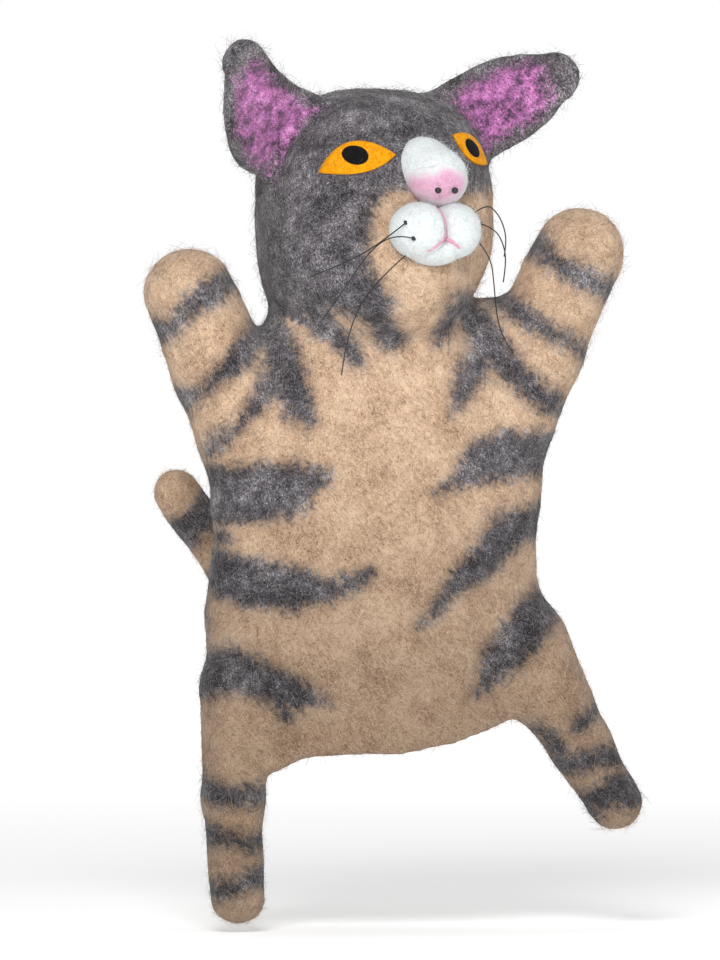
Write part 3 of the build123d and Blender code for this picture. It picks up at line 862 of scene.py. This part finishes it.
for name, (length, route) in WHISKERS.items():
    points = from_head(np.array(route) / MM) * MM
    curve = bpy.data.curves.new(name, "CURVE")
    curve.dimensions = "3D"
    spline = curve.splines.new("NURBS")
    spline.points.add(len(points) - 1)
    for point, place in zip(spline.points, points):
        point.co = (*place, 1.0)
    spline.order_u = 3
    spline.use_endpoint_u = True
    spline.resolution_u = 12
    curve.bevel_depth = WHISKER_DIAMETER / 2
    curve.bevel_resolution = 3
    curve.use_fill_caps = True
    curve.materials.append(thread)
    whisker = bpy.data.objects.new(name.replace("whisker", "thread"), curve)
    bpy.context.scene.collection.objects.link(whisker)
    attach(whisker, "head")
    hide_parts(name)


# ---- the skin ----
low = np.array(cad_box[0]) / MM - 8
high = np.array(cad_box[1]) / MM + 8
skin_points, skin_quads = surface_net(puppet_skin, low, high, GRID)
skin_points = relax(skin_points, skin_quads, 2)
skin_normals = point_normals(skin_points, skin_quads)
lumps = wool_noise(skin_points, 15, 1) + 0.45 * wool_noise(skin_points, 6, 2)
skin_points = skin_points + skin_normals * (LUMP * lumps)[:, None]
skin_normals = point_normals(skin_points, skin_quads)
skin_marks = wool_marks(skin_points, skin_normals)
outside = puppet_skin(skin_points.T, hollowed=False) > -2.0


def distance_to_limb(points, name):
    """How far points are from a limb's centreline."""
    if name not in LIMB_LINES:
        return np.zeros(len(points))
    root, bend, end = LIMB_LINES[name]
    p = list(points.T)
    return np.minimum(tapered_bar(p, root, bend, 0, 0), tapered_bar(p, bend, end, 0, 0))


def strands(name, points, normals, wool_of, material, count, seed, long=(3.0, 7.5), thick=0.085):
    """Loose wool fibres on a surface: most lie along it, some stand off.  Each is a closed,
    three-sided hair that tapers to its tip."""
    draw = np.random.default_rng(seed)
    start = draw.integers(0, len(points), count)
    p, n = points[start], normals[start]
    towards = np.cross(n, draw.normal(size=(count, 3)))
    towards /= np.maximum(np.linalg.norm(towards, axis=1), 1e-6)[:, None]
    aside = np.cross(n, towards)
    length = draw.uniform(*long, count)[:, None]
    standing = (draw.random(count) < 0.3)[:, None]
    lift = np.where(standing, draw.uniform(0.25, 0.75, (count, 1)), 0.06)
    curl = draw.uniform(-0.7, 0.7, (count, 1))
    rings = []
    stations = (0.0, 0.4, 0.75, 1.0)
    for share in stations:
        along = share * length
        line = p + towards * along * np.cos(curl * share) + aside * along * np.sin(curl * share) * 0.8
        line = line + n * (lift * along * (1.2 - 0.5 * share) - 0.12)
        rings.append(line)
    verts = []
    for ring, radius in zip(rings[:3], (thick / 2, thick / 2, thick / 3)):
        for turn in range(3):
            angle = turn * 2 * math.pi / 3
            verts.append(ring + (aside * math.cos(angle) + n * math.sin(angle)) * radius)
    verts.append(rings[3])
    verts = np.stack(verts, axis=1).reshape(-1, 3)
    template = [(2, 1, 0)]
    for ring in (0, 3):
        for turn in range(3):
            after = (turn + 1) % 3
            template.append((ring + turn, ring + after, ring + 3 + after, ring + 3 + turn))
    for turn in range(3):
        template.append((6 + turn, 6 + (turn + 1) % 3, 9))
    faces = []
    for index in range(count):
        faces.extend([tuple(index * 10 + k for k in face) for face in template])
    obj = make_mesh(name, verts, faces, material)
    tone = draw.integers(0, 3, count)
    slots = np.repeat(wool_of(start) * 3 + tone, len(template))
    obj.data.polygons.foreach_set("material_index", slots.astype(np.int32))
    return obj


def wool_at(index):
    """Which wool a point of the skin has: tan, grey or pink."""
    return np.where(skin_marks["pink_mm"][index] > 0, 2, np.where(skin_marks["grey_mm"][index] > 0, 1, 0))


def skin_piece(name, chosen, density, seed):
    """A part of the skin, with the loose fibres on it."""
    used = np.unique(skin_quads[chosen])
    number = np.zeros(len(skin_points), int)
    number[used] = np.arange(len(used))
    marks = {key: value[used] for key, value in skin_marks.items()}
    felt = make_mesh(
        name + "_felt", skin_points[used], number[skin_quads[chosen]], skin_wool, skin_normals[used], marks
    )
    shown = used[outside[used]]
    area = len(shown) * GRID * GRID
    fuzz = strands(
        name + "_fibres", skin_points[shown], skin_normals[shown], lambda i: wool_at(shown[i]), strand_wool,
        int(area * density), seed,
    )
    return felt, fuzz


FIBRE_DENSITY = 0.24  # loose fibres on each square millimetre
left = np.ones(len(skin_quads), bool)
for order, (limb_name, (bodies, direction, marks_at, reach, nodes)) in enumerate(BENDS.items()):
    direction = np.array(direction) / np.linalg.norm(direction)
    t = (skin_points @ direction)[skin_quads]
    near = distance_to_limb(skin_points, limb_name)[skin_quads].min(axis=1) < reach
    first_start, first_end, second_start, second_end = marks_at
    beyond = left & near & (t.max(axis=1) > first_start)
    outer = beyond & (t.min(axis=1) >= first_end)
    spans = [
        (beyond & ~outer, bodies[0], bodies[1], first_start, first_end, nodes[0]),
        (outer, bodies[1], bodies[2], second_start, second_end, nodes[1]),
    ]
    for chosen, a, b, start, end, replaced in spans:
        slot = "grey_felt" if b == "head" else "tan_felt"
        felt, fuzz = skin_piece(b, chosen, FIBRE_DENSITY, 100 + 2 * order + (b == bodies[2]))
        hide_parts(*replaced)
        for obj in (felt, fuzz):
            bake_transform(obj)
    left &= ~beyond
glove, glove_fuzz = skin_piece("glove", left, FIBRE_DENSITY, 99)
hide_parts("torso_shell")
for obj in (glove, glove_fuzz):
    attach(obj, "glove")

# ---- the face, needle-felted onto the head ----
EYES = {  # across, up, half width, height above and below, tilt
    "right": (-25.6, 19.6, 14.0, 8.9, 3.4, 14.5),
    "left": (25.2, 25.4, 10.8, 6.0, 4.8, -32.0),
}
PUPILS = {  # across, up, half width, half height, tilt
    "right": (-27.8, 22.9, 4.5, 3.8, 0.0),
    "left": (25.0, 26.0, 4.4, 3.0, -42.0),
}


def turned(h, across, up, tilt):
    """Places on the face measured along and across a tilted line."""
    c, s = math.cos(math.radians(tilt)), math.sin(math.radians(tilt))
    x, z = h[0] - across, h[2] - up
    return x * c + z * s, -x * s + z * c


def layer(outline, surface, low_side, high_side, edge):
    """A layer of felt on a surface, inside an outline, with a rounded edge."""
    flat = np.abs(surface - (low_side + high_side) / 2) - (high_side - low_side) / 2
    return sheet(flat, outline, edge)


def eye_field(h, side):
    across, up, half, above, below, tilt = EYES[side]
    x, z = turned(h, across, up, tilt)
    narrow = 1 - (x / half) ** 2
    outline = np.maximum(z - above * narrow, -below * narrow - z) * 0.8
    return np.maximum(layer(outline, head_block(h), -1.5, 1.3, 0.5), h[1] + 5)


def pupil_field(h, side):
    across, up, wide, tall, tilt = PUPILS[side]
    x, z = turned(h, across, up, tilt)
    outline = (np.hypot(x / wide, z / tall) - 1) * min(wide, tall)
    return np.maximum(layer(outline, head_block(h), -0.5, 2.0, 0.7), h[1] + 5)


def pad_field(h, sign):
    egg = squared_egg(h, (sign * 7.4, -45.3, -6.2), (11.3, 11.8, 11.0), 2.05)
    return carve(egg, sign * h[0] - 0.12, 3.5)


def chin_field(h):
    return squared_egg(h, (0, -43.6, -13.4), (11.5, 9.8, 6.4), 2.0)


def bridge_field(h):
    return tapered_bar(h, (1.2, -34.0, 18.8), (2.6, -43.2, 14.4), 11.4, 11.3)


def beyond_nose(across, up):
    """How far outside the nose's oval a place is, as a share of the oval's size."""
    return np.hypot((across + 0.8) / 13.0, (up - 10.6) / 9.0) - 1


def nose_field(h):
    uneven = 0.8 * wool_noise(np.stack(np.broadcast_arrays(*h), -1), 5, 6)
    outline = beyond_nose(h[0], h[2]) * 9.0 + uneven
    return np.maximum(layer(outline, bridge_field(h), -1.2, 0.4, 0.4), h[1] + 38)


def nose_marks(points, normals):
    """How far inside the nose's pink wool each point is."""
    return {"pink_mm": -beyond_nose(points[:, 0], points[:, 2]) * 8 - 0.6 + 1.2 * wool_noise(points, 4, 5)}


def mouth_field(h):
    line = [[(-1, 5, 0.8), (-0.8, -8.6, 0.7), (-8, -14.2, 0.4)], [(-0.8, -8.6, 0.7), (5.4, -13, 0.4)]]
    depth = np.maximum(*[stroke_depth(h[0], h[2], stroke) for stroke in line])
    surface = np.minimum(np.minimum(pad_field(h, -1), pad_field(h, 1)), chin_field(h))
    return np.maximum(layer(-depth, surface, -0.8, 0.5, 0.35), h[1] + 40)


NOSTRILS = {-1: -4.6, 1: 3.0}  # how far across each nostril is


def nostril_field(h, sign):
    return squared_egg(h, (NOSTRILS[sign], -55.0, 9.2), (1.3, 1.3, 1.25), 2.0)


for index, (side, sign) in enumerate((("right", -1), ("left", 1))):
    across, up, half = EYES[side][:3]
    eye, _, _ = felt_piece(
        side + "_eye_felt", lambda h: eye_field(h, side),
        (across - half - 2, -46, up - 14), (across + half + 2, -6, up + 14), 0.6, eye_felt,
    )
    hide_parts(side + "_eye")
    across, up = PUPILS[side][:2]
    pupil, _, _ = felt_piece(
        side + "_pupil_felt", lambda h: pupil_field(h, side),
        (across - 6, -46, up - 6), (across + 6, -6, up + 6), 0.45, pupil_felt,
    )
    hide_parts(side + "_pupil")
    pad, pad_points, pad_normals = felt_piece(
        side + "_muzzle_felt", lambda h: pad_field(h, sign),
        (sign * 10 - 12, -58, -19), (sign * 10 + 12, -32, 8), 0.7, white_wool,
    )
    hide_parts(side + "_muzzle")
    nostril, _, _ = felt_piece(
        side + "_nostril_bead", lambda h: nostril_field(h, sign),
        (NOSTRILS[sign] - 2, -57, 7), (NOSTRILS[sign] + 2, -53, 11.4), 0.2, bead,
    )
    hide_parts(side + "_nostril")
    fuzz = strands(
        side + "_muzzle_fibres", from_head(pad_points), from_head(pad_normals) - HEAD_CENTRE,
        lambda i: np.full(len(i), WOOLS.index("white")), strand_wool, 900, 200 + index, (2.0, 4.5), 0.08,
    )
    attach(fuzz, "head")

# node, field, low and high corner, spacing, material, slot, marks, wool of its fibres, their number
face_parts = [
    ("chin", chin_field, (-12, -56, -22), (12, -30, -6), 0.7, white_wool, "white_felt", None, "white", 350),
    (
        "nose_bridge", bridge_field, (-14, -56, -6), (16, -24, 34), 0.8, white_wool, "white_felt", None,
        "white", 1400,
    ),
    (
        "nose_pad", nose_field, (-13, -58, 3), (13, -40, 20), 0.6, nose_wool, "pink_felt", nose_marks,
        "white", 300,
    ),
    ("mouth_line", mouth_field, (-11, -59, -16), (11, -42, 9), 0.35, mouth_wool, "pink_felt", None, None, 0),
]
for index, (node, field, low, high, step, material, slot, values, wool, count) in enumerate(face_parts):
    part, points, normals = felt_piece(node + "_felt", field, low, high, step, material, values=values)
    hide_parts(node)
    if count:
        fuzz = strands(
            node + "_fibres", from_head(points), from_head(normals) - HEAD_CENTRE,
            lambda i: np.full(len(i), WOOLS.index(wool)), strand_wool, count, 210 + index, (2.0, 4.5), 0.08,
        )
        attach(fuzz, "head")


# ---- floor, sky and light ----
FLOOR = cad_box[0][2] - 3 * MM
FLOOR_RADIUS = 40.0
mesh = bpy.data.meshes.new("floor")
rim = [(FLOOR_RADIUS * math.cos(a), FLOOR_RADIUS * math.sin(a), FLOOR) for a in np.arange(64) * math.pi / 32]
mesh.from_pydata(rim, [], [list(range(64))])
paper, shader = new_material("paper", 0.9, specular=0.2)
shader.inputs["Base Color"].default_value = (0.93, 0.93, 0.93, 1)
shader.inputs["Emission Color"].default_value = (1, 1, 1, 1)
tree = paper.node_tree
place = tree.nodes.new("ShaderNodeTexCoord")
away = tree.nodes.new("ShaderNodeVectorMath")
away.operation = "LENGTH"
tree.links.new(place.outputs["Object"], away.inputs[0])
glow = tree.nodes.new("ShaderNodeMapRange")  # the paper glows more where the lamps don't reach
for key, value in (("From Min", 0.4), ("From Max", 1.8), ("To Min", 0.35), ("To Max", 0.86)):
    glow.inputs[key].default_value = value
tree.links.new(away.outputs["Value"], glow.inputs["Value"])
tree.links.new(glow.outputs[0], shader.inputs["Emission Strength"])
mesh.materials.append(paper)
floor = bpy.data.objects.new("floor", mesh)
bpy.context.scene.collection.objects.link(floor)

world = bpy.data.worlds.new("studio")
world.use_nodes = True
tree = world.node_tree
sky = tree.nodes["Background"]
sky.inputs["Color"].default_value = (1, 1, 1, 1)
place = tree.nodes.new("ShaderNodeTexCoord")
parts = tree.nodes.new("ShaderNodeSeparateXYZ")
fade = tree.nodes.new("ShaderNodeMapRange")  # white at the horizon, dimmer overhead
for key, value in (("From Min", 0.08), ("From Max", 0.25), ("To Min", 1.0), ("To Max", 0.24)):
    fade.inputs[key].default_value = value
tree.links.new(place.outputs["Generated"], parts.inputs[0])
tree.links.new(parts.outputs["Z"], fade.inputs["Value"])
tree.links.new(fade.outputs[0], sky.inputs["Strength"])
bpy.context.scene.world = world


def softbox(name, place, size, power):
    """A large square light that faces the puppet."""
    light = bpy.data.lights.new(name, "AREA")
    light.size = size
    light.energy = power
    obj = bpy.data.objects.new(name, light)
    obj.location = place
    obj.rotation_euler = (Vector((0, 0, 0.1)) - Vector(place)).to_track_quat("-Z", "Y").to_euler()
    bpy.context.scene.collection.objects.link(obj)


softbox("key", (-0.3, -0.9, 0.7), 0.4, 8.8)
softbox("fill", (0.9, -1.0, 0.5), 0.8, 3.0)
softbox("top", (0.1, 0.4, 1.5), 0.9, 4)
